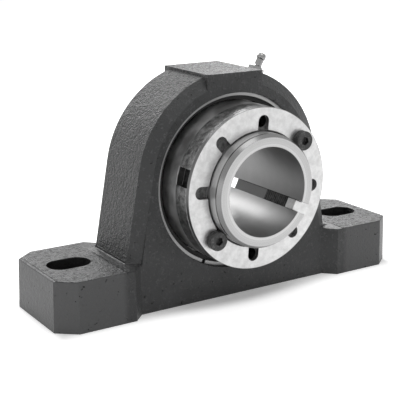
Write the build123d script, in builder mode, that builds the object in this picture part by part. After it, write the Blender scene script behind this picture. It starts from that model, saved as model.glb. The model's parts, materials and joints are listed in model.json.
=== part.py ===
from build123d import *
from math import asin, atan2, cos, degrees, hypot, radians, sin, sqrt, tan
import os

os.makedirs("parts", exist_ok=True)

# Driving sizes in mm: X along the base, -Y is the lock nut side, base at Z = 0
shaft_diameter = 60.0
bearing_diameter = 120.0
bearing_width = 31.0
centre_height = 80.0
base_length = 275.0
base_width = 76.0
foot_height = 34.0
body_width = 54.4
bolt_inset = 24.5
bolt_slot_length = 30.0
bolt_slot_width = 20.0

# Housing casting
seat_radius = bearing_diameter / 2
arch_wall = 12.4
arch_rise = 2.5
arch_lean = 9.6
arch_bevel = 8.0
arch_bevel_length = 5.2
arch_toe_round = 2.5
arch_radius = seat_radius + arch_wall
arch_centre = centre_height + arch_rise
arch_land = body_width - 2 * arch_bevel_length
wall_foot_x = arch_radius + arch_lean
body_flare = 2.8
flare_drop = 10.0
flare_height = centre_height - flare_drop
foot_shoulder = 1.6
foot_ledge = 1.5
foot_inner_x = wall_foot_x + foot_shoulder
foot_corner_x = 13.0
foot_corner_y = 10.5
foot_knee_y = body_width / 2 + foot_ledge
foot_knee_share = 0.8
foot_knee_round = foot_knee_share * (base_width / 2 - foot_knee_y)
foot_draft = 1.5
foot_edge_round = 1.0
bolt_spacing = base_length - 2 * bolt_inset
pad_left = 22.5
pad_right = 21.0
pad_cut = 1.4
pad_top = arch_centre + arch_radius - pad_cut
pad_depth = 25.0
mouth_lead = 0.4

# Retaining rings and seals: the seals fill the room between bearing and rings
ring_reach = 2.3
ring_inner_radius = seat_radius - ring_reach
ring_outer_radius = seat_radius + ring_reach
ring_setback = 5.4
ring_inside_y = body_width / 2 - ring_setback
ring_thickness = 3.0
groove_play = 0.1
groove_radius = ring_outer_radius + 2 * groove_play
ring_gap = 2.5
ring_gap_angle = -156.0
seal_inside_y = bearing_width / 2
seal_length = ring_inside_y - seal_inside_y
seal_lip = seal_length / 4
seal_web_y = seal_inside_y + seal_length / 3
seal_rim = 5.2
seal_web_radius = seat_radius - seal_rim
seal_groove = 1.5
running_gap = 0.5

# Double-row self-aligning bearing
outer_wall = 5.5
sphere_radius = seat_radius - outer_wall
ring_chamfer = 1.0
oil_groove_width = 6.0
oil_groove_depth = 1.0
oil_hole_radius = 1.75
oil_hole_count = 4
play = 0.2
roller_radius = 5.0
roller_length = 11.0
roller_count = 26
roller_edge = 0.4
row_clearance = 1.9
row_offset = roller_length / 2 + row_clearance
roller_crown = sphere_radius - play
pitch_distance = roller_crown - roller_radius
tilt = asin(row_offset / pitch_distance)
pitch_radius = pitch_distance * cos(tilt)
roller_step = 360.0 / roller_count
race_distance = pitch_distance - roller_radius - play
race_ease = 0.5
race_crown = sphere_radius + race_ease
race_centre_r = (race_distance + race_crown) * cos(tilt)
race_centre_y = (race_distance + race_crown) * sin(tilt)
race_bottom_r = race_distance * cos(tilt)
race_bottom_y = race_distance * sin(tilt)
shoulder_step = 1.4
shoulder_radius = race_bottom_r + shoulder_step
hub_step = 1.0
hub_radius = shoulder_radius + hub_step
hub_length = 7.5
hub_back_y = bearing_width / 2 + hub_length
outer_end_r = pitch_radius - roller_length / 2 * sin(tilt)
outer_end_y = row_offset + roller_length / 2 * cos(tilt)
inner_end_r = pitch_radius + roller_length / 2 * sin(tilt)
inner_end_y = row_offset - roller_length / 2 * cos(tilt)
flange_play = 0.3
flange_y = outer_end_y + (shoulder_radius - outer_end_r) * tan(tilt) + flange_play
rib_step = 0.8
rib_radius = race_bottom_r + rib_step
rib_y = race_centre_y - sqrt(race_crown**2 - (race_centre_r - rib_radius) ** 2)
guide_inner_radius = rib_radius + play
guide_height = 4.0
guide_outer_radius = guide_inner_radius + guide_height
guide_inner_y = inner_end_y + (guide_inner_radius - inner_end_r) * tan(tilt) - play
guide_outer_y = inner_end_y + (guide_outer_radius - inner_end_r) * tan(tilt) - play
cage_lift = 1.6
cage_inner_radius = shoulder_radius + cage_lift
cage_wall = 4.0
cage_outer_radius = cage_inner_radius + cage_wall
cage_gap = 0.6
cage_inside_y = guide_outer_y + cage_gap
cage_rim = 2.2
cage_outside_y = outer_end_y + cage_rim

# Adapter sleeve: 1 in 12 taper under the inner ring, thread and collar in front
sleeve_bore = shaft_diameter / 2
taper_slope = 1.0 / 24.0
inner_wall = 5.2
taper_front_radius = race_bottom_r - inner_wall
thread_step = 0.2
thread_radius = taper_front_radius - thread_step
sleeve_tail = 7.0
sleeve_back_y = hub_back_y + sleeve_tail
sleeve_reach = 49.1
sleeve_front_y = bearing_width / 2 + sleeve_reach
collar_length = 10.4
collar_bevel_length = 3.0
collar_bevel_depth = 1.9
slit_width = 7.5
slit_angle = 117.0

# Lock nut, lock plate and their two screws
nut_ease = 0.3
nut_radius = sphere_radius - nut_ease
nut_recess = 1.5
nut_rear_y = bearing_width / 2 + nut_recess
plate_front_y = sleeve_front_y - collar_length
plate_thickness = 3.0
nut_front_y = plate_front_y - plate_thickness
nut_edge = 0.8
notch_angle = 14.0
notch_width = 11.8
notch_depth = 5.0
notch_length = 12.7
screw_radius = 4.0
screw_length = 16.0
drill_run = 1.0
tapped_depth = screw_length + drill_run
screw_stand = 6.5
screw_circle = thread_radius + screw_stand
head_radius = 6.5
head_height = 5.0
head_edge = 0.6
socket_flats = 5.0
socket_depth = 2.7
slot_start_angle = 4.5
plate_overhang = 0.1
plate_radius = nut_radius + plate_overhang
plate_gap = 1.1
plate_bore = thread_radius + plate_gap
plate_slots = 8
screw_angle = slot_start_angle + 360 / plate_slots
slot_play = 0.2
plate_slot_width = 2 * screw_radius + slot_play
tab_play = 0.5
tab_width = slit_width - tab_play
tab_thickness = 3.0
tab_drop = 0.2
tab_outer_radius = thread_radius - tab_drop
tab_length = 10.2

# Grease fitting on the right shoulder, square to the arch
fitting_angle = 28.0
spot_depth = 0.6
spot_radius = 8.0
fitting_seat = arch_radius - spot_depth
fitting_thread = 4.85
fitting_thread_length = 8.0
hex_flats = 10.0
hex_height = 5.5
hex_cone = 1.6
neck_radius = 2.7
head_ball_radius = 3.3
head_ball_height = 13.4
head_crown = 2.7
fitting_top = head_ball_height + head_crown
channel_radius = 2.5
cavity_radius = 1.9
cavity_floor = 2.0
inlet_radius = 0.9
inlet_length = 1.1
inlet_start = fitting_top - inlet_length
check_ball_radius = 1.6
ball_play = 0.03
check_ball_height = inlet_start + inlet_radius - check_ball_radius * sqrt(2) - ball_play
spring_wire = 0.25
spring_coil = 1.3
spring_coils = 6
spring_base = cavity_floor + spring_wire
spring_top = check_ball_height - sqrt((check_ball_radius + spring_wire) ** 2 - spring_coil**2)

# Planes and axes shared by the pieces
face_plane = Plane(origin=(0, 0, centre_height), x_dir=(1, 0, 0), z_dir=(0, -1, 0))
turning_plane = Plane.XY.offset(centre_height)
shaft_axis = Axis((0, 0, centre_height), (0, 1, 0))
fitting_x = sin(radians(fitting_angle))
fitting_z = cos(radians(fitting_angle))
fitting_origin = (fitting_seat * fitting_x, 0, arch_centre + fitting_seat * fitting_z)
fitting_plane = Plane(origin=fitting_origin, x_dir=(0, 1, 0), z_dir=(fitting_x, 0, fitting_z))
fitting_section = Plane(origin=fitting_origin, x_dir=(fitting_z, 0, -fitting_x), z_dir=(0, -1, 0))
fitting_axis = Axis(fitting_origin, (fitting_x, 0, fitting_z))

# Arch outline: a round top with straight sides tangent to it
drop = arch_centre - foot_height
reach = hypot(wall_foot_x, drop)
touch = atan2(-drop, wall_foot_x) + atan2(sqrt(reach**2 - arch_radius**2), arch_radius)
touch_x = arch_radius * cos(touch)
touch_z = arch_centre + arch_radius * sin(touch)
below = 2 * arch_bevel
skirt_x = wall_foot_x + 2 * arch_toe_round
knee_x = foot_inner_x - (base_width / 2 - foot_knee_y)
end_x = base_length / 2
side_y = base_width / 2
near = 0.01

# Outline of the arch seen from the front, with a rounded toe on each foot, carried on below the base
with BuildSketch(Plane.XZ) as arch_outline:
    with BuildLine():
        Polyline(
            (-touch_x, touch_z),
            (-wall_foot_x, foot_height),
            (-skirt_x, foot_height),
            (-skirt_x, -below),
            (skirt_x, -below),
            (skirt_x, foot_height),
            (wall_foot_x, foot_height),
            (touch_x, touch_z),
        )
        ThreePointArc((touch_x, touch_z), (0, arch_centre + arch_radius), (-touch_x, touch_z))
    make_face()
    toes = arch_outline.vertices().filter_by(lambda v: abs(abs(v.X) - wall_foot_x) < near)
    fillet(toes, arch_toe_round)

# Draft on the front face below the bore, inside the arch's bevel
with BuildPart() as front_draft:
    with BuildSketch(Plane.XZ.offset(body_width / 2)):
        offset(arch_outline.sketch_local, amount=-arch_bevel)
    extrude(amount=body_flare)
    with BuildSketch(Plane.YZ.offset(-end_x)):
        with BuildLine():
            Polyline(
                (0, 0),
                (-body_width / 2 - body_flare, 0),
                (-body_width / 2, flare_height),
                (0, flare_height),
                close=True,
            )
        make_face()
    extrude(amount=base_length, mode=Mode.INTERSECT)

# Housing: one-piece grey iron casting
with BuildPart() as housing:
    extrude(arch_outline.sketch, amount=arch_land / 2)
    extrude(
        housing.faces().sort_by(Axis.Y)[0],
        amount=arch_bevel_length,
        taper=degrees(atan2(arch_bevel, arch_bevel_length)),
    )
    add(front_draft.part)
    mirror(about=Plane.XZ)
    split(bisect_by=Plane.XY, keep=Keep.TOP)

    # Base with its two feet
    with BuildSketch() as base_plan:
        with BuildLine():
            Polyline(
                (-end_x, side_y - foot_corner_y),
                (-end_x, foot_corner_y - side_y),
                (foot_corner_x - end_x, -side_y),
                (-foot_inner_x, -side_y),
                (-knee_x, -foot_knee_y),
                (knee_x, -foot_knee_y),
                (foot_inner_x, -side_y),
                (end_x - foot_corner_x, -side_y),
                (end_x, foot_corner_y - side_y),
                (end_x, side_y - foot_corner_y),
                (end_x - foot_corner_x, side_y),
                (foot_inner_x, side_y),
                (knee_x, foot_knee_y),
                (-knee_x, foot_knee_y),
                (-foot_inner_x, side_y),
                (foot_corner_x - end_x, side_y),
                close=True,
            )
        make_face()
        knees = base_plan.vertices().filter_by(lambda v: abs(abs(v.X) - knee_x) < near)
        fillet(knees, foot_knee_round)
    extrude(amount=foot_height, taper=foot_draft)
    foot_tops = housing.edges().filter_by_position(Axis.Z, foot_height - near, foot_height + near)
    ends = foot_tops.filter_by(lambda edge: abs(edge.center().X) > skirt_x)
    facets = foot_tops.filter_by(lambda edge: abs(edge.center().Y) > foot_knee_y + foot_ledge)
    fillet(set(ends + facets), foot_edge_round)

    # Flat pad on top of the arch
    with BuildSketch(Plane.XY.offset(pad_top - pad_depth)):
        with Locations(((pad_right - pad_left) / 2, 0)):
            Rectangle(pad_left + pad_right, body_width)
    extrude(amount=pad_depth)
    split(bisect_by=Plane.XY.offset(pad_top), keep=Keep.BOTTOM)

    # Bolt slots
    with BuildSketch():
        with GridLocations(bolt_spacing, 0, 2, 1):
            SlotOverall(bolt_slot_length, bolt_slot_width)
    extrude(amount=foot_height, mode=Mode.SUBTRACT)

    # Bearing seat with a ring groove near each mouth
    mouth_y = body_width / 2 + body_flare
    lead_radius = seat_radius + mouth_lead
    face_y = body_width / 2
    groove_in = ring_inside_y - groove_play
    groove_out = ring_inside_y + ring_thickness + groove_play
    with BuildSketch(turning_plane):
        with BuildLine():
            Polyline(
                (0, -mouth_y),
                (lead_radius, -mouth_y),
                (lead_radius, -face_y),
                (seat_radius, mouth_lead - face_y),
                (seat_radius, -groove_out),
                (groove_radius, -groove_out),
                (groove_radius, -groove_in),
                (seat_radius, -groove_in),
                (seat_radius, groove_in),
                (groove_radius, groove_in),
                (groove_radius, groove_out),
                (seat_radius, groove_out),
                (seat_radius, face_y - mouth_lead),
                (lead_radius, face_y),
                (lead_radius, mouth_y),
                (0, mouth_y),
                close=True,
            )
        make_face()
    revolve(axis=shaft_axis, mode=Mode.SUBTRACT)

    # Seat, thread and channel for the grease fitting
    with BuildSketch(fitting_plane):
        Circle(spot_radius)
    extrude(amount=pad_depth, mode=Mode.SUBTRACT)
    with BuildSketch(fitting_plane):
        Circle(fitting_thread)
    extrude(amount=-fitting_thread_length - spot_depth, mode=Mode.SUBTRACT)
    with BuildSketch(fitting_plane):
        Circle(channel_radius)
    extrude(amount=-pad_depth, mode=Mode.SUBTRACT)
housing.part.label = "housing"
export_step(housing.part, "parts/housing.step")

# Outer ring: spherical raceway, oil groove and oil holes
sphere_end_r = sqrt(sphere_radius**2 - (bearing_width / 2) ** 2)
half_width = bearing_width / 2
with BuildPart() as outer_ring:
    with BuildSketch(turning_plane):
        with BuildLine():
            Polyline(
                (sphere_end_r, -half_width),
                (seat_radius - ring_chamfer, -half_width),
                (seat_radius, ring_chamfer - half_width),
                (seat_radius, -oil_groove_width / 2),
                (seat_radius - oil_groove_depth, -oil_groove_width / 2),
                (seat_radius - oil_groove_depth, oil_groove_width / 2),
                (seat_radius, oil_groove_width / 2),
                (seat_radius, half_width - ring_chamfer),
                (seat_radius - ring_chamfer, half_width),
                (sphere_end_r, half_width),
            )
            ThreePointArc(
                (sphere_end_r, half_width), (sphere_radius, 0), (sphere_end_r, -half_width)
            )
        make_face()
    revolve(axis=shaft_axis)
    oil_planes = []
    for k in range(oil_hole_count):
        turn = radians(45 + 360 / oil_hole_count * k)
        outward = (sin(turn), 0, cos(turn))
        oil_planes.append(Plane(origin=(0, 0, centre_height), x_dir=(0, 1, 0), z_dir=outward))
    with BuildSketch(*oil_planes):
        Circle(oil_hole_radius)
    extrude(amount=seat_radius, mode=Mode.SUBTRACT)
outer_ring.part.label = "outer_ring"
export_step(outer_ring.part, "parts/outer_ring.step")


# Radius of an inner raceway at a distance from the middle of the bearing
def race_radius(y):
    return race_centre_r - sqrt(race_crown**2 - (abs(y) - race_centre_y) ** 2)


# Radius of the sleeve's taper at a place along the shaft
def taper_radius(y):
    return taper_front_radius + (y + half_width) * taper_slope


# Inner ring: two raceways, a low rib between them and a longer hub at the back
with BuildPart() as inner_ring:
    with BuildSketch(turning_plane):
        with BuildLine():
            Polyline(
                (rib_radius, -rib_y),
                (rib_radius, rib_y),
            )
            ThreePointArc(
                (rib_radius, rib_y),
                (race_bottom_r, race_bottom_y),
                (race_radius(flange_y), flange_y),
            )
            Polyline(
                (race_radius(flange_y), flange_y),
                (shoulder_radius, flange_y),
                (shoulder_radius, half_width),
                (hub_radius, half_width),
                (hub_radius, hub_back_y),
                (taper_radius(hub_back_y), hub_back_y),
                (taper_front_radius, -half_width),
                (shoulder_radius, -half_width),
                (shoulder_radius, -flange_y),
                (race_radius(flange_y), -flange_y),
            )
            ThreePointArc(
                (race_radius(flange_y), -flange_y),
                (race_bottom_r, -race_bottom_y),
                (rib_radius, -rib_y),
            )
        make_face()
    revolve(axis=shaft_axis)
inner_ring.part.label = "inner_ring"
export_step(inner_ring.part, "parts/inner_ring.step")

# One crowned roller of the back row, leaning with its raceway
lean = (cos(tilt), sin(tilt), 0)
roller_centre = (pitch_radius, row_offset, centre_height)
roller_plane = Plane(origin=roller_centre, x_dir=lean, z_dir=(0, 0, 1))
crown_half = roller_length / 2 - roller_edge
crown_end = roller_radius - roller_crown + sqrt(roller_crown**2 - crown_half**2)
with BuildPart() as roller:
    with BuildSketch(roller_plane):
        with BuildLine():
            Polyline(
                (crown_end, -crown_half),
                (crown_end - roller_edge, -roller_length / 2),
                (0, -roller_length / 2),
                (0, roller_length / 2),
                (crown_end - roller_edge, roller_length / 2),
                (crown_end, crown_half),
            )
            ThreePointArc((crown_end, crown_half), (roller_radius, 0), (crown_end, -crown_half))
        make_face()
    revolve(axis=Axis(roller_plane.origin, roller_plane.y_dir))

# Rows of rollers: the front row is the back row's mirror image, half a step round
with BuildPart() as roller_row_back:
    add([roller.part.rotate(shaft_axis, k * roller_step) for k in range(roller_count)])
roller_row_back.part.label = "roller_row_back"
export_step(roller_row_back.part, "parts/roller_row_back.step")

front_roller = roller.part.mirror(Plane.XZ).rotate(shaft_axis, roller_step / 2)
with BuildPart() as roller_row_front:
    add([front_roller.rotate(shaft_axis, k * roller_step) for k in range(roller_count)])
roller_row_front.part.label = "roller_row_front"
export_step(roller_row_front.part, "parts/roller_row_front.step")


# Planes square to the rollers' axes, for the pockets of one cage
def pocket_planes(side, first):
    planes = []
    for k in range(roller_count):
        turn = radians(first + k * roller_step)
        outward = Vector(cos(turn), 0, sin(turn))
        centre = outward * pitch_radius + Vector(0, side * row_offset, centre_height)
        along = Vector(0, side * cos(tilt), 0) - outward * sin(tilt)
        planes.append(Plane(origin=centre, x_dir=(-sin(turn), 0, cos(turn)), z_dir=along))
    return planes


# Cages: a ring outside each row with a prong between every two rollers
for name, side, first in (("cage_back", 1, 0), ("cage_front", -1, roller_step / 2)):
    with BuildPart() as cage:
        with BuildSketch(turning_plane):
            with BuildLine():
                Polyline(
                    (cage_inner_radius, side * cage_inside_y),
                    (cage_outer_radius, side * cage_inside_y),
                    (cage_outer_radius, side * cage_outside_y),
                    (cage_inner_radius, side * cage_outside_y),
                    close=True,
                )
            make_face()
        revolve(axis=shaft_axis)
        with BuildSketch(*pocket_planes(side, first)):
            Circle(roller_radius + play)
        extrude(amount=roller_length / 2 + play, mode=Mode.SUBTRACT)
        with BuildSketch(*pocket_planes(side, first)):
            Circle(roller_radius + play)
        extrude(amount=-roller_length, mode=Mode.SUBTRACT)
    cage.part.label = name
    export_step(cage.part, f"parts/{name}.step")

# Loose guide ring between the rows
with BuildPart() as guide_ring:
    with BuildSketch(turning_plane):
        with BuildLine():
            Polyline(
                (guide_inner_radius, -guide_inner_y),
                (guide_outer_radius, -guide_outer_y),
                (guide_outer_radius, guide_outer_y),
                (guide_inner_radius, guide_inner_y),
                close=True,
            )
        make_face()
    revolve(axis=shaft_axis)
guide_ring.part.label = "guide_ring"
export_step(guide_ring.part, "parts/guide_ring.step")

# Split adapter sleeve
slit_turn = 90 - slit_angle
with BuildPart() as adapter_sleeve:
    with BuildSketch(turning_plane):
        with BuildLine():
            Polyline(
                (sleeve_bore, -sleeve_front_y),
                (thread_radius - collar_bevel_depth, -sleeve_front_y),
                (thread_radius, collar_bevel_length - sleeve_front_y),
                (thread_radius, -half_width),
                (taper_front_radius, -half_width),
                (taper_radius(sleeve_back_y), sleeve_back_y),
                (sleeve_bore, sleeve_back_y),
                close=True,
            )
        make_face()
    revolve(axis=shaft_axis)
    with BuildSketch(face_plane.offset(-sleeve_back_y)):
        with PolarLocations(thread_radius, 1, slit_turn):
            Rectangle(sleeve_bore, slit_width)
    extrude(amount=sleeve_back_y + sleeve_front_y, mode=Mode.SUBTRACT)
adapter_sleeve.part.label = "adapter_sleeve"
export_step(adapter_sleeve.part, "parts/adapter_sleeve.step")

# Lock nut: four spanner notches and the tapped holes for the plate's screws
tapped_angles = [slot_start_angle, screw_angle, slot_start_angle + 180, screw_angle + 180]
with BuildPart() as lock_nut:
    with BuildSketch(turning_plane):
        with BuildLine():
            Polyline(
                (thread_radius, -nut_front_y),
                (nut_radius - nut_edge, -nut_front_y),
                (nut_radius, nut_edge - nut_front_y),
                (nut_radius, -nut_rear_y),
                (hub_radius, -nut_rear_y),
                (hub_radius, -half_width),
                (thread_radius, -half_width),
                close=True,
            )
        make_face()
    revolve(axis=shaft_axis)
    with BuildSketch(face_plane.offset(nut_front_y)):
        with PolarLocations(nut_radius, 4, 90 - notch_angle):
            Rectangle(2 * notch_depth, notch_width)
    extrude(amount=-notch_length, mode=Mode.SUBTRACT)
    for angle in tapped_angles:
        with BuildSketch(face_plane.offset(nut_front_y)):
            with PolarLocations(screw_circle, 1, 90 - angle):
                Circle(screw_radius)
        extrude(amount=plate_thickness - tapped_depth, mode=Mode.SUBTRACT)
lock_nut.part.label = "lock_nut"
export_step(lock_nut.part, "parts/lock_nut.step")

# Lock plate: eight slots open to the bore, and a tab bent into the sleeve's slit
slot_tip = screw_circle + 0.2
slot_reach = slot_tip - plate_bore + plate_slot_width
with BuildPart() as lock_plate:
    with BuildSketch(face_plane.offset(nut_front_y)):
        Circle(plate_radius)
        Circle(plate_bore, mode=Mode.SUBTRACT)
        with PolarLocations(slot_tip - slot_reach / 2, plate_slots, 90 - slot_start_angle):
            SlotCenterToCenter(slot_reach, plate_slot_width, mode=Mode.SUBTRACT)
        with PolarLocations((tab_outer_radius - tab_thickness + plate_bore) / 2, 1, slit_turn):
            Rectangle(plate_bore - tab_outer_radius + 2 * tab_thickness, tab_width)
    extrude(amount=plate_thickness)
    with BuildSketch(face_plane.offset(plate_front_y)):
        with PolarLocations(tab_outer_radius - tab_thickness / 2, 1, slit_turn):
            Rectangle(tab_thickness, tab_width)
    extrude(amount=-tab_length)
lock_plate.part.label = "lock_plate"
export_step(lock_plate.part, "parts/lock_plate.step")

# Two socket head screws through opposite slots
for number, angle in ((1, screw_angle), (2, screw_angle + 180)):
    with BuildPart() as lock_screw:
        with BuildSketch(face_plane.offset(plate_front_y)):
            with PolarLocations(screw_circle, 1, 90 - angle):
                Circle(head_radius)
        extrude(amount=head_height)
        chamfer(lock_screw.faces().sort_by(Axis.Y)[0].edges(), head_edge)
        with BuildSketch(face_plane.offset(plate_front_y)):
            with PolarLocations(screw_circle, 1, 90 - angle):
                Circle(screw_radius)
        extrude(amount=-screw_length)
        chamfer(lock_screw.faces().sort_by(Axis.Y)[-1].edges(), head_edge)
        with BuildSketch(face_plane.offset(plate_front_y + head_height)):
            with PolarLocations(screw_circle, 1, 90 - angle):
                RegularPolygon(socket_flats / 2, 6, major_radius=False)
        extrude(amount=-socket_depth, mode=Mode.SUBTRACT)
    lock_screw.part.label = f"lock_screw_{number}"
    export_step(lock_screw.part, f"parts/lock_screw_{number}.step")

# Sprung retaining rings, each open at one place
for name, side in (("retaining_ring_front", 1), ("retaining_ring_back", -1)):
    with BuildPart() as retaining_ring:
        with BuildSketch(face_plane.offset(side * ring_inside_y)):
            Circle(ring_outer_radius)
            Circle(ring_inner_radius, mode=Mode.SUBTRACT)
            with PolarLocations(seat_radius, 1, 90 - ring_gap_angle):
                Rectangle(4 * ring_reach, ring_gap, mode=Mode.SUBTRACT)
        extrude(amount=side * ring_thickness)
    retaining_ring.part.label = name
    export_step(retaining_ring.part, f"parts/{name}.step")

# Front seal, close round the lock nut
with BuildPart() as seal_front:
    front_lip = nut_radius + running_gap
    with BuildSketch(turning_plane):
        with BuildLine():
            Polyline(
                (front_lip, -ring_inside_y),
                (seat_radius, -ring_inside_y),
                (seat_radius, -seal_inside_y),
                (front_lip, -seal_inside_y),
                (front_lip, -seal_inside_y - seal_lip),
                (front_lip + seal_groove, -seal_inside_y - seal_lip),
                (front_lip + seal_groove, seal_lip - ring_inside_y),
                (front_lip, seal_lip - ring_inside_y),
                close=True,
            )
        make_face()
    revolve(axis=shaft_axis)
seal_front.part.label = "seal_front"
export_step(seal_front.part, "parts/seal_front.step")

# Back seal, close round the inner ring's hub and hollowed to clear the cage
with BuildPart() as seal_back:
    back_lip = hub_radius + running_gap
    lip = (ring_inside_y - seal_web_y) / 3
    with BuildSketch(turning_plane):
        with BuildLine():
            Polyline(
                (seal_web_radius, seal_inside_y),
                (seat_radius, seal_inside_y),
                (seat_radius, ring_inside_y),
                (back_lip, ring_inside_y),
                (back_lip, ring_inside_y - lip),
                (back_lip + seal_groove, ring_inside_y - lip),
                (back_lip + seal_groove, seal_web_y + lip),
                (back_lip, seal_web_y + lip),
                (back_lip, seal_web_y),
                (seal_web_radius, seal_web_y),
                close=True,
            )
        make_face()
    revolve(axis=shaft_axis)
seal_back.part.label = "seal_back"
export_step(seal_back.part, "parts/seal_back.step")

# Grease fitting: thread, hexagon, neck, ball head and a stepped passage
head_waist = sqrt(head_ball_radius**2 - neck_radius**2)
top_radius = sqrt(head_ball_radius**2 - (fitting_top - head_ball_height) ** 2)
hex_shoulder = neck_radius + hex_cone
with BuildPart() as grease_fitting:
    with BuildSketch(fitting_section):
        with BuildLine():
            Polyline(
                (top_radius, fitting_top),
                (0, fitting_top),
                (0, -fitting_thread_length),
                (fitting_thread, -fitting_thread_length),
                (fitting_thread, 0),
                (hex_shoulder, 0),
                (hex_shoulder, hex_height),
                (neck_radius, hex_height + hex_cone),
                (neck_radius, head_ball_height - head_waist),
            )
            ThreePointArc(
                (neck_radius, head_ball_height - head_waist),
                (head_ball_radius, head_ball_height),
                (top_radius, fitting_top),
            )
        make_face()
    revolve(axis=fitting_axis)
    with BuildSketch(fitting_plane):
        RegularPolygon(hex_flats / 2, 6, major_radius=False)
    extrude(amount=hex_height)
    with BuildSketch(fitting_section):
        with BuildLine():
            Polyline(
                (0, -fitting_thread_length),
                (spring_coil - spring_wire, -fitting_thread_length),
                (spring_coil - spring_wire, cavity_floor),
                (cavity_radius, cavity_floor),
                (cavity_radius, inlet_start - cavity_radius + inlet_radius),
                (inlet_radius, inlet_start),
                (inlet_radius, fitting_top),
                (0, fitting_top),
                close=True,
            )
        make_face()
    revolve(axis=fitting_axis, mode=Mode.SUBTRACT)
grease_fitting.part.label = "grease_fitting"
export_step(grease_fitting.part, "parts/grease_fitting.step")

# Check ball against the inlet's seat
with BuildPart(fitting_plane.offset(check_ball_height)) as check_ball:
    Sphere(check_ball_radius)
check_ball.part.label = "check_ball"
export_step(check_ball.part, "parts/check_ball.step")

# Spring under the check ball
coil_height = spring_top - spring_base
with BuildPart() as check_spring:
    with BuildLine() as coil:
        Helix(
            pitch=coil_height / spring_coils,
            height=coil_height,
            radius=spring_coil,
            center=fitting_plane.offset(spring_base).origin,
            direction=fitting_plane.z_dir,
        )
    with BuildSketch(Plane(origin=coil.line @ 0, z_dir=coil.line % 0)):
        Circle(spring_wire)
    sweep(path=coil.line, is_frenet=True)
check_spring.part.label = "check_spring"
export_step(check_spring.part, "parts/check_spring.step")
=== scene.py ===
# One-piece plummer block with a roller bearing on a split adapter sleeve. Every shape comes from
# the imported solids. This file rounds their edges, gives each its finish, and sets the floor, the
# light and the camera.

import json
import math

import bmesh
import bpy
from mathutils import Euler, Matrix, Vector

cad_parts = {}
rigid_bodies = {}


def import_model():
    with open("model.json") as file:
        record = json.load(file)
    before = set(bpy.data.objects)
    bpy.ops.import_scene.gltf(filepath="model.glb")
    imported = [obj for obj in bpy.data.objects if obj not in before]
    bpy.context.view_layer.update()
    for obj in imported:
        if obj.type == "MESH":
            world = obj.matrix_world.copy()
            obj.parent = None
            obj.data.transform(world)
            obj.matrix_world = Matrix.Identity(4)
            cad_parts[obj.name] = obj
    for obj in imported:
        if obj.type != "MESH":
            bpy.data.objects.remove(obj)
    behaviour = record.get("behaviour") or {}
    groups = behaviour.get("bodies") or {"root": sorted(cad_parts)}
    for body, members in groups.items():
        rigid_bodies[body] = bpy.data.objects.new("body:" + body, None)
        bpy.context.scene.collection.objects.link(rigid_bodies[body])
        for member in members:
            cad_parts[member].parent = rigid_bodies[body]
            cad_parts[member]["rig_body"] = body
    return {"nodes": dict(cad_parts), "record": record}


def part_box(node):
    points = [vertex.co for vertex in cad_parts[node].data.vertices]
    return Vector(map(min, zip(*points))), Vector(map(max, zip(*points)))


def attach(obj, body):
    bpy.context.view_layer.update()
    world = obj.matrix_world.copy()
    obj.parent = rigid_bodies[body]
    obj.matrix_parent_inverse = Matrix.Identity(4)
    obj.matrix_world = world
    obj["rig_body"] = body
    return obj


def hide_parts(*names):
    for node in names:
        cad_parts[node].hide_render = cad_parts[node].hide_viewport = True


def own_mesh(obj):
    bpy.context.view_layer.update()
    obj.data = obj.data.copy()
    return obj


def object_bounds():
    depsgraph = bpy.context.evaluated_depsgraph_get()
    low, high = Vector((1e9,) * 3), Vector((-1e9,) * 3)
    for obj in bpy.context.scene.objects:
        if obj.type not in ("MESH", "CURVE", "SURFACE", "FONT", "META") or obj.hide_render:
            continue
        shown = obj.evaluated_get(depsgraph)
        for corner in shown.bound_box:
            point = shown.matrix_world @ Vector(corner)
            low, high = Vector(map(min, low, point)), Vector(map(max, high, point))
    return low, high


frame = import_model()
nodes = frame["nodes"]
cad_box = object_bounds()
body_names = {node: obj["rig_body"] for node, obj in nodes.items()}
slot_names = {part["node"]: part["material_slot"] for part in frame["record"]["subparts"]}

MM = 0.001

sleeve_low, sleeve_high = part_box("adapter_sleeve")
nut_low, nut_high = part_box("lock_nut")
plate_low, plate_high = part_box("lock_plate")
screw_low, screw_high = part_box("lock_screw_1")
shaft_height = (sleeve_low.z + sleeve_high.z) / 2
slots = next(mount["dims"] for mount in frame["record"]["mounts"] if mount["name"] == "foot_slots")


def radii(node, front, back):
    """Smallest and largest distance from the shaft's axis of a node's points from front to back."""
    found = [
        math.hypot(point.co.x, point.co.z - shaft_height) / MM
        for point in nodes[node].data.vertices
        if back - 0.1 < -point.co.y / MM < front + 0.1
    ]
    return min(found), max(found)


# What the frame doesn't name: lengths in millimetres, the slit's angle and a count of ridges
collar_bevel = 3.0
notch_length = 12.7
slit_half = 3.75
slit_angle = math.radians(-27)
thread_pitch = 2.0
knurl_ridges = 44
foot_inside = 88.0
rubbed_from = 88.5
base_half = 38.0

# Places read off the frame, in millimetres. Fronts and backs are counted forward, towards the nut.
sleeve_front = -sleeve_low.y / MM
bevel_back = sleeve_front - collar_bevel
collar_back = -plate_low.y / MM
thread_back = -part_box("outer_ring")[0].y / MM
sleeve_bore, face_radius = radii("adapter_sleeve", sleeve_front, sleeve_front)
thread_radius = radii("adapter_sleeve", sleeve_front, bevel_back)[1]
nut_front = -nut_low.y / MM
notch_back = nut_front - notch_length
nut_radius = (nut_high.x - nut_low.x) / 2 / MM
plate_radius = (plate_high.x - plate_low.x) / 2 / MM
screw_middle = (screw_low + screw_high) / 2 / MM
head_radius = (screw_high.x - screw_low.x) / 2 / MM
foot_end = cad_box[1].x / MM
slot_middle = slots["spacing_x_mm"] / 2
slot_half = slots["hole_r_mm"]
slot_straight = slots["slot_length_mm"] / 2 - slot_half


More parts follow.
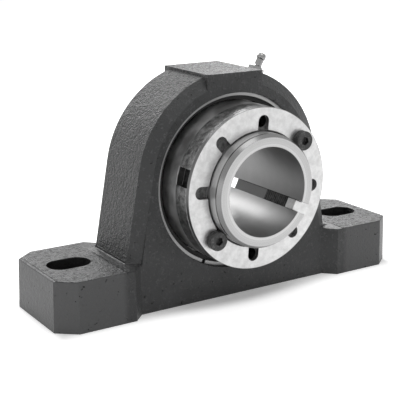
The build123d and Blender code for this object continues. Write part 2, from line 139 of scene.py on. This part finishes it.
class Wire:
    """The output of a shader node, for sums written as plain expressions."""

    def __init__(self, shading, socket):
        self.shading = shading
        self.socket = socket

    def __add__(self, other):
        return self.shading.maths("ADD", self, other)

    def __radd__(self, other):
        return self.shading.maths("ADD", other, self)

    def __sub__(self, other):
        return self.shading.maths("SUBTRACT", self, other)

    def __rsub__(self, other):
        return self.shading.maths("SUBTRACT", other, self)

    def __mul__(self, other):
        return self.shading.maths("MULTIPLY", self, other)

    def __rmul__(self, other):
        return self.shading.maths("MULTIPLY", other, self)

    def __neg__(self):
        return self.shading.maths("SUBTRACT", 0.0, self)

    def __abs__(self):
        return self.shading.maths("ABSOLUTE", self)


class Shading:
    """The nodes of a finish or of the surround, all made by one method."""

    def __init__(self, owner):
        owner.use_nodes = True
        self.tree = owner.node_tree
        self.tree.nodes.clear()

    def plug(self, socket, value):
        """Puts a value or a wire on a socket."""
        if isinstance(value, Wire):
            self.tree.links.new(value.socket, socket)
        else:
            socket.default_value = value

    def node(self, kind, settings=None, sockets=None, output=0):
        """Makes a node: its settings first, then the values or wires of its sockets."""
        made = self.tree.nodes.new(kind)
        for key, value in (settings or {}).items():
            setattr(made, key, value)
        for key, value in (sockets or {}).items():
            self.plug(made.inputs[key], value)
        return Wire(self, made.outputs[output]) if made.outputs else None

    def maths(self, operation, first, second=0.0):
        """A sum on one or two values or wires."""
        return self.node("ShaderNodeMath", {"operation": operation}, {0: first, 1: second})

    def seen(self):
        """1 where the camera looks, straight, by reflection or through glass, and 0 for light."""
        ways = ("Is Camera Ray", "Is Glossy Ray", "Is Transmission Ray")
        straight, mirrored, through = (self.node("ShaderNodeLightPath", output=way) for way in ways)
        return self.maths("MAXIMUM", self.maths("MAXIMUM", straight, mirrored), through)


class Finish(Shading):
    """A material under the hand, which ends in one shader."""

    def __init__(self, name, **constants):
        self.material = bpy.data.materials.new(name)
        super().__init__(self.material)
        shaded = self.node("ShaderNodeBsdfPrincipled")
        self.node("ShaderNodeOutputMaterial", sockets={"Surface": shaded})
        self.shader = shaded.socket.node
        for key, value in constants.items():
            self.set(key.replace("_", " "), value)

    def set(self, socket, value):
        """Puts a value or a wire on one of the shader's own sockets."""
        self.plug(self.shader.inputs[socket], value)

    def place(self):
        """Where a point lies on the object, in millimetres."""
        metres = self.node("ShaderNodeTexCoord", output="Object")
        return self.node(
            "ShaderNodeVectorMath", {"operation": "SCALE"}, {0: metres, "Scale": 1 / MM}
        )

    def noise(self, place, size, detail=2.0, rough=0.5):
        """Soft noise from 0 to 1 whose lumps are about size millimetres wide."""
        return self.node(
            "ShaderNodeTexNoise",
            sockets={"Vector": place, "Scale": 1 / size, "Detail": detail, "Roughness": rough},
            output="Fac",
        )

    def ramp(self, wire, low, high):
        """0 below low, 1 above high, and a smooth step between."""
        return self.node(
            "ShaderNodeMapRange",
            {"interpolation_type": "SMOOTHSTEP"},
            {"Value": wire, "From Min": low, "From Max": high},
        )

    def zigzag(self, wire, half):
        """Rises from 0 to 1 over half and falls back over the next half, again and again."""
        return self.maths("PINGPONG", wire, half) * (1 / half)

    def blend(self, share, first, second):
        """A colour between two others."""
        sockets = {"Factor": share, 6: first, 7: second}
        return self.node("ShaderNodeMix", {"data_type": "RGBA"}, sockets, output=2)

    def relief(self, height, depth, under=None):
        """Bumps of the given depth in millimetres, over any bumps already there."""
        sockets = {"Height": height, "Distance": depth * MM, "Strength": 1.0}
        if under is not None:
            sockets["Normal"] = under
        return self.node("ShaderNodeBump", sockets=sockets)


def grey(level, tint=0.0):
    """A linear grey, a little bluer for a positive tint."""
    return (level, level * (1 + tint / 2), level * (1 + tint), 1)


def across(f, place):
    """A point's place across, along and above the shaft's axis, in millimetres."""
    split = f.node("ShaderNodeSeparateXYZ", sockets={0: place}).socket.node
    x, y, z = (Wire(f, split.outputs[axis]) for axis in "XYZ")
    return x, y, z - shaft_height / MM


def length(f, x, z):
    """Length of the line from the middle to x, z."""
    return f.maths("SQRT", x * x + z * z)


def round_axis(f, place):
    """Distance from the shaft's axis and place along it, in millimetres."""
    x, y, z = across(f, place)
    return length(f, x, z), y


def facing(f):
    """How far a surface faces along the shaft, either way, and how far it faces up."""
    normal = f.node("ShaderNodeTexCoord", output="Normal")
    split = f.node("ShaderNodeSeparateXYZ", sockets={0: normal}).socket.node
    return abs(Wire(f, split.outputs["Y"])), Wire(f, split.outputs["Z"])


def within_slots(f, x, y):
    """1 inside the bolt slots of the feet and 0 outside them."""
    past_straight = abs(abs(x) - slot_middle) - slot_straight
    from_line = length(f, f.maths("MAXIMUM", past_straight, 0.0), y)
    return 1.0 - f.ramp(from_line, slot_half + 0.1, slot_half + 0.5)


def enamelled_casting():
    """Charcoal enamel over a sand casting, coarse on the arch, rubbed pale on the feet, darkened by
    painted shade.
    """
    dull, clear = grey(0.056, 0.03), grey(0.072, 0.03)
    skin_shade, thin = grey(0.03, 0.03), grey(0.115, 0.02)
    bare, sooty, pit_and_shade_black = grey(0.13, 0.02), grey(0.03), grey(0.012)

    f = Finish("enamelled_casting", Metallic=0.0, Specular_IOR_Level=0.32)
    place = f.place()
    x, y, _ = across(f, place)
    aside = abs(x)
    lumps = f.noise(place, 3.2, 3.0, 0.6)
    sand = f.noise(place, 1.4, 2.0, 0.6)
    patches = f.noise(place, 26.0, 3.0, 0.5)
    forward, upward = facing(f)
    up = f.ramp(upward, 0.55, 0.9)
    end_face = f.ramp(aside, foot_end - 4, foot_end - 2)
    outer_skin = (1.0 - f.ramp(forward, 0.3, 0.6)) * (1.0 - end_face)
    pits = f.ramp(f.noise(place, 2.6, 2.0, 0.6) + up * 0.035, 0.69, 0.74)

    # Each foot's top is rubbed beyond a wandering line. Short of it, by the arch, the paint stays
    # dark and smooth, which is partly unworn paint and partly painted shade from the arch.
    wander = f.noise(place, 5.0, 3.0, 0.6) * 4.0 - 2.0
    rubbed_top = f.ramp(aside + wander, rubbed_from, rubbed_from + 1.5)
    unworn_and_shaded_toe = (1.0 - rubbed_top) * up * f.ramp(aside, foot_inside - 10, foot_inside - 8)
    feet = f.ramp(aside, foot_inside, foot_inside + 6) * (1.0 - up) + rubbed_top * up
    rubs = f.ramp(sand * 0.5 + lumps * 0.5, 0.52, 0.66) * (1.0 - unworn_and_shaded_toe)
    specks = f.ramp(f.noise(place, 2.2, 4.0, 0.7), 0.5, 0.62) * up * (1.0 - unworn_and_shaded_toe)
    pits_and_slot_shade = f.maths("MAXIMUM", pits, within_slots(f, x, y))

    colour = f.blend(f.ramp(patches, 0.35, 0.65), dull, clear)
    # Painted shade: the outside of the casting is drawn darker, except the feet's end faces.
    colour = f.blend(outer_skin * 0.5, colour, skin_shade)
    colour = f.blend(feet, colour, thin)
    colour = f.blend(rubs * 0.6, colour, bare)
    colour = f.blend(specks * 0.7, colour, sooty)
    # Painted shade: the walls of the bolt slots are drawn almost black, like the casting's real
    # pits.
    f.set("Base Color", f.blend(pits_and_slot_shade, colour, pit_and_shade_black))
    f.set("Roughness", 0.35 - outer_skin * 0.07 + lumps * 0.18 + specks * 0.26)
    height = (lumps * 0.55 + sand * 0.45) * (0.3 + outer_skin * 0.9)
    f.set("Normal", f.relief(height * (1.0 - unworn_and_shaded_toe * 0.75) - pits * 0.5, 2.6))
    return f.material


def turning_marks(f, place, width):
    """Rings left by the lathe, about width millimetres apart."""
    radius, along = round_axis(f, place)
    rings_place = f.node("ShaderNodeCombineXYZ", sockets={"X": radius, "Y": along})
    return f.noise(rings_place, width, 2.0, 0.6)


def bearing_steel():
    """Ground steel with faint rings, and painted shade in the tapered bore that the sleeve's slit
    lays open.
    """
    f = Finish("bearing_steel", Metallic=1.0)
    place = f.place()
    rings = turning_marks(f, place, 0.5)
    cloud = f.noise(place, 14.0, 3.0, 0.55)
    radius = round_axis(f, place)[0]
    bore_shade = 1.0 - f.ramp(radius, thread_radius + 2.4, thread_radius + 2.6)
    bright = f.blend(cloud, grey(0.4888), grey(0.5408))
    # Painted shade: the tapered bore, seen through the slit, is drawn dark grey.
    f.set("Base Color", f.blend(bore_shade, bright, grey(0.1)))
    f.set("Roughness", 0.25 + cloud * 0.06 + rings * 0.05)
    f.set("Normal", f.relief(rings, 0.01))
    return f.material


def sleeve_steel():
    """Turned steel: bright collar, a thread round its front half, and painted shade on the bevel,
    in a line behind it, in the bore and in the slit.
    """
    f = Finish("sleeve_steel")
    place = f.place()
    x, along, z = across(f, place)
    ahead = -along
    radius = length(f, x, z)
    rings = turning_marks(f, place, 0.45)
    streaks = f.ramp(turning_marks(f, place, 1.6), 0.3, 0.7)
    cloud = f.noise(place, 12.0, 3.0, 0.55)

    outside = f.ramp(radius, thread_radius - 0.2, thread_radius - 0.1)
    behind_collar = f.ramp(along, -collar_back, 0.3 - collar_back)
    bevel = f.ramp(ahead, bevel_back - 0.1, bevel_back + 0.1)
    bevel = bevel * f.ramp(radius, face_radius - 0.1, face_radius + 0.1)
    shade_line = f.ramp(ahead, bevel_back - 1.6, bevel_back - 0.6)
    side = outside * (1.0 - bevel)
    behind_shade_line = (1.0 - shade_line) * (1.0 - behind_collar)
    bore = 1.0 - f.ramp(radius, sleeve_bore + 0.05, sleeve_bore + 0.25)
    beside_slit = abs(z * math.cos(slit_angle) - x * math.sin(slit_angle))
    towards_slit = x * math.cos(slit_angle) + z * math.sin(slit_angle)
    slit = f.ramp(towards_slit, 0.0, 1.0) - f.ramp(beside_slit, slit_half + 0.02, slit_half + 0.08)

    face = f.blend(streaks, grey(0.38), grey(0.5))
    # Painted shade: a dark line round the collar's side, just behind the bevel.
    collar = f.blend(shade_line, f.blend(streaks, grey(0.46), grey(0.64)), grey(0.14))
    # Painted shade: the bevel is drawn darker than the face and the collar's side.
    colour = f.blend(bevel, f.blend(side, face, collar), grey(0.2))
    # Painted shade: the bore is drawn darker than the outside.
    colour = f.blend(bore, colour, f.blend(cloud, grey(0.2), grey(0.28)))
    # Painted shade: the walls of the slit are drawn dark grey.
    f.set("Base Color", f.blend(slit, colour, grey(0.12)))
    f.set("Roughness", 0.17 + cloud * 0.08 + rings * 0.06 + bore * 0.22 + side * 0.14)
    f.set("Metallic", 1.0 - side * behind_shade_line * 0.55)
    thread = f.zigzag(along, thread_pitch / 2) * outside * behind_collar
    thread = thread * f.ramp(ahead, thread_back, thread_back + 0.5)
    f.set("Normal", f.relief(thread, 0.12, f.relief(rings, 0.01)))
    return f.material


def ground_plate():
    """Bright sheet steel with a faint cloudy bloom, a fine grain and a rim darkened as painted
    shade.
    """
    f = Finish("ground_plate", Metallic=1.0)
    place = f.place()
    cloud = f.noise(place, 6.0, 6.0, 0.65)
    grain = f.noise(place, 0.8, 2.0, 0.6)
    rim = f.ramp(round_axis(f, place)[0], plate_radius - 0.4, plate_radius - 0.2)
    bright = f.blend(f.ramp(cloud, 0.3, 0.7), grey(0.49), grey(0.65))
    # Painted shade: the plate's outer edge is drawn dark instead of catching the light.
    f.set("Base Color", f.blend(rim, bright, grey(0.18)))
    f.set("Roughness", 0.3 + cloud * 0.14)
    f.set("Normal", f.relief(grain, 0.015))
    return f.material


def nut_steel():
    """Steel, bright behind, blackened and mottled round the spanner notches, threaded within."""
    f = Finish("nut_steel", Metallic=1.0)
    place = f.place()
    radius, along = round_axis(f, place)
    ahead = -along
    flecks = f.ramp(f.noise(place, 3.4, 6.0, 0.72), 0.34, 0.66)
    cloud = f.ramp(f.noise(place, 13.0, 3.0), 0.35, 0.65)

    band = f.ramp(ahead, notch_back - 0.4, notch_back + 0.4)
    inside = 1.0 - f.ramp(radius, thread_radius + 0.3, thread_radius + 0.6)
    notches = band * (1.0 - f.ramp(radius, nut_radius - 0.9, nut_radius - 0.6))
    unrubbed = f.maths("MAXIMUM", inside, notches)
    front_face = f.ramp(ahead, nut_front - 0.3, nut_front - 0.1)

    smooth = f.blend(cloud, grey(0.46), grey(0.7))
    mottled = f.blend(flecks, grey(0.1), grey(0.32))
    black = f.blend(flecks, grey(0.012), grey(0.05))
    black = f.blend(front_face, black, f.blend(flecks, grey(0.05), grey(0.13)))
    f.set("Base Color", f.blend(unrubbed, f.blend(band, smooth, mottled), black))
    f.set("Roughness", 0.3 + cloud * 0.08 + band * flecks * 0.14)
    thread = f.zigzag(along, thread_pitch / 2) * inside
    f.set("Normal", f.relief(thread, 0.12, f.relief(band * flecks, 0.03)))
    return f.material


def screw_steel():
    """Black oxide, rubbed a little lighter in patches, with knurling round the heads."""
    f = Finish("screw_steel", Metallic=0.7)
    place = f.place()
    x, _, z = across(f, place)
    side = f.maths("SIGN", x)
    head_x = x * side - screw_middle.x
    head_z = z * side - (screw_middle.z - shaft_height / MM)
    rim = f.ramp(length(f, head_x, head_z), head_radius - 0.15, head_radius - 0.05)
    knurl = f.zigzag(f.maths("ARCTAN2", head_z, head_x), math.pi / knurl_ridges) * rim
    flecks = f.ramp(f.noise(place, 1.5, 3.0, 0.6), 0.5, 0.7)
    cloud = f.noise(place, 5.0, 2.0)
    f.set("Base Color", f.blend(flecks * 0.6 + cloud * 0.3, grey(0.035), grey(0.13)))
    f.set("Roughness", 0.34 + cloud * 0.12)
    f.set("Normal", f.relief(knurl, 0.3, f.relief(flecks, 0.02)))
    return f.material


def plain_metal(name, colour, rough):
    """An even metal finish with a little cloudiness."""
    f = Finish(name, Metallic=1.0)
    cloud = f.noise(f.place(), 6.0, 3.0)
    darker = tuple(0.85 * part for part in colour[:3]) + (1,)
    f.set("Base Color", f.blend(cloud, darker, colour))
    f.set("Roughness", rough + cloud * 0.08)
    return f.material


def seal_rubber():
    """Matt black rubber."""
    f = Finish("seal_rubber", Metallic=0.0)
    grain = f.noise(f.place(), 0.8, 2.0)
    f.set("Base Color", f.blend(grain, grey(0.01), grey(0.018)))
    f.set("Roughness", 0.6 + grain * 0.15)
    f.set("Normal", f.relief(grain, 0.03))
    return f.material


finishes = {
    "housing_iron": enamelled_casting(),
    "bearing_steel": bearing_steel(),
    "cage_brass": plain_metal("cage_brass", (0.72, 0.5, 0.2, 1), 0.3),
    "guide_iron": plain_metal("guide_iron", grey(0.3), 0.4),
    "sleeve_steel": sleeve_steel(),
    "nut_steel": nut_steel(),
    "plate_steel": ground_plate(),
    "screw_steel": screw_steel(),
    "ring_steel": plain_metal("ring_steel", grey(0.34), 0.35),
    "seal_rubber": seal_rubber(),
    "fitting_steel": plain_metal("fitting_steel", grey(0.28), 0.16),
}

# How wide each node's sharp edges are rounded, in millimetres. Other nodes stay as packed.
edge_rounds = {
    "housing": 0.8,
    "lock_nut": 0.3,
    "lock_plate": 0.25,
    "lock_screw_1": 0.25,
    "lock_screw_2": 0.25,
    "retaining_ring_front": 0.2,
    "retaining_ring_back": 0.2,
    "seal_front": 0.2,
    "seal_back": 0.2,
    "inner_ring": 0.2,
    "grease_fitting": 0.15,
    "adapter_sleeve": 0.25,
    "check_spring": 0.05,
}

# Corners this sharp are rounded, faces this level are joined, and points this near are one point.
sharp_corner = math.radians(24)
level_corner = math.radians(0.6)
one_point = 0.002 * MM


def shortest_beside(corner):
    """Length of the shortest edge that meets an edge, itself included."""
    return min(edge.calc_length() for vertex in corner.verts for edge in vertex.link_edges)


def dressed(node, edge, flats=True):
    """Stands in for a CAD node: the same mesh with its sharp edges rounded by edge millimetres.

    Edges beside very short ones stay sharp. With flats, the triangles of a flat face are joined.
    """
    mesh = nodes[node].data.copy()
    for name in ("custom_normal", "sharp_edge"):
        if name in mesh.attributes:
            mesh.attributes.remove(mesh.attributes[name])
    work = bmesh.new()
    work.from_mesh(mesh)
    bmesh.ops.remove_doubles(work, verts=work.verts, dist=one_point)
    if flats:
        bmesh.ops.dissolve_limit(
            work, angle_limit=level_corner, verts=work.verts, edges=work.edges
        )
    for face in work.faces:
        face.smooth = True
    weight = work.edges.layers.float.new("bevel_weight_edge")
    room = 1.5 * edge * MM
    for corner in work.edges:
        if corner.calc_face_angle(0) > sharp_corner and shortest_beside(corner) > room:
            corner[weight] = 1
    work.to_mesh(mesh)
    work.free()
    made = bpy.data.objects.new(f"{node}_dressed", mesh)
    bpy.context.scene.collection.objects.link(made)
    mesh.set_sharp_from_angle(angle=sharp_corner)
    bevel = made.modifiers.new("edges", "BEVEL")
    bevel.width = edge * MM
    bevel.segments = 3
    bevel.limit_method = "WEIGHT"
    bevel.miter_outer = "MITER_ARC"
    bevel.harden_normals = True
    mesh.materials.clear()
    mesh.materials.append(finishes[slot_names[node]])
    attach(made, body_names[node])
    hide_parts(node)
    return made


def shorten_with_ball(spring):
    """Works out how much of the check spring would stay when the ball is pressed in, and gives the
    spring a mesh of its own.
    """
    joints = frame["record"]["behaviour"]["joints"]
    slide = next(joint for joint in joints if joint["name"] == "check_ball_slide")
    away = -Vector(slide["axis"]).normalized()
    along = [away.dot(point.co) for point in spring.data.vertices]
    keep = 1 - slide["range_m"][1] / (max(along) - min(along))
    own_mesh(spring)


# The sleeve's faces stay in triangles, because joining them closes its bore.
stand_ins = {
    node: dressed(node, edge, flats=node != "adapter_sleeve") for node, edge in edge_rounds.items()
}
shorten_with_ball(stand_ins["check_spring"])
for node, obj in nodes.items():
    if node not in stand_ins:
        obj.data.materials.clear()
        obj.data.materials.append(finishes[slot_names[node]])


def pale_floor():
    """Floor that shows white round the object, keeps its shadow, and has a contact shadow painted
    into its glow along the base.
    """
    half_width, gap = 6.0, 0.2 * MM
    shadow_edge, bulge = 9.0, 8.0

    work = bmesh.new()
    bmesh.ops.create_grid(work, x_segments=1, y_segments=1, size=half_width)
    mesh = bpy.data.meshes.new("floor")
    work.to_mesh(mesh)
    work.free()
    floor = bpy.data.objects.new("floor", mesh)
    floor.location.z = cad_box[0].z - gap
    bpy.context.scene.collection.objects.link(floor)

    f = Finish("floor_paint", Roughness=0.9)
    f.set("Base Color", grey(0.86))
    x, y, _ = across(f, f.place())
    # Painted shadow: the floor's glow dims to 0.3 near the base's foot, reaching bulge millimetres
    # further out beside the middle.
    beside_ends = abs(x) - foot_end
    beside_faces = abs(y) - base_half - (1.0 - f.ramp(abs(x), 0.0, foot_inside)) * bulge
    beside = f.maths("MAXIMUM", beside_ends, beside_faces)
    white = f.blend(f.ramp(beside, -shadow_edge, shadow_edge), grey(0.3), grey(1.0))
    f.set("Emission Color", f.blend(f.seen(), grey(0.0), white))
    f.set("Emission Strength", 0.7)
    mesh.materials.append(f.material)


# Where each lamp stands and how wide it is, in metres, and its watts
lamps = {
    "back_light": ((0.6, 1.28, 1.41), 0.3, 12.5),
    "low_back_light": ((-0.12, 1.2, 0.85), 0.45, 7.5),
    "top_light": ((0.1, -0.4, 1.5), 0.8, 5.5),
    "right_light": ((1.0, 1.1, 0.5), 0.5, 2.5),
    "left_light": ((-1.3, -0.3, 0.1), 0.8, 1.6),
}
lamp_aim = Vector((0, 0, 0.06))


def soft_light(name, place, width, watts):
    """A square lamp that faces the object."""
    lamp = bpy.data.lights.new(name, "AREA")
    lamp.shape = "SQUARE"
    lamp.size = width
    lamp.energy = watts
    obj = bpy.data.objects.new(name, lamp)
    obj.location = place
    obj.rotation_mode = "QUATERNION"
    obj.rotation_quaternion = (lamp_aim - Vector(place)).to_track_quat("-Z", "Y")
    bpy.context.scene.collection.objects.link(obj)


def surround():
    """White all round, which shows at full strength and lights the object with its glow alone."""
    shown, glow = 1.0, 0.27
    world = bpy.data.worlds.new("surround")
    bpy.context.scene.world = world
    w = Shading(world)
    strength = w.node(
        "ShaderNodeMapRange", sockets={"Value": w.seen(), "To Min": glow, "To Max": shown}
    )
    back = w.node("ShaderNodeBackground", sockets={"Color": grey(1.0), "Strength": strength})
    w.node("ShaderNodeOutputWorld", sockets={"Surface": back})


def camera():
    """Stands at the photograph's viewing angle."""
    picture, focal_pixels = 400, 1029.8
    azimuth, elevation, roll = -0.5688, 0.2687, -0.0014

    data = bpy.data.cameras.new("view")
    data.sensor_width = 36.0
    data.lens = focal_pixels / picture * data.sensor_width
    data.shift_x = -0.0011
    data.shift_y = -0.00185
    data.clip_start, data.clip_end = 0.05, 20.0
    obj = bpy.data.objects.new("view", data)
    obj.location = Vector((-383.94, -583.97, 252.99)) * MM
    turn = Euler((math.pi / 2 - elevation, 0, azimuth), "XYZ").to_matrix()
    lean = Euler((0, 0, roll), "XYZ").to_matrix()
    obj.rotation_euler = (turn @ lean).to_euler()
    bpy.context.scene.collection.objects.link(obj)
    bpy.context.scene.camera = obj


pale_floor()
for name, (place, width, watts) in lamps.items():
    soft_light(name, place, width, watts)
surround()
camera()
bpy.context.scene.view_settings.view_transform = "Standard"
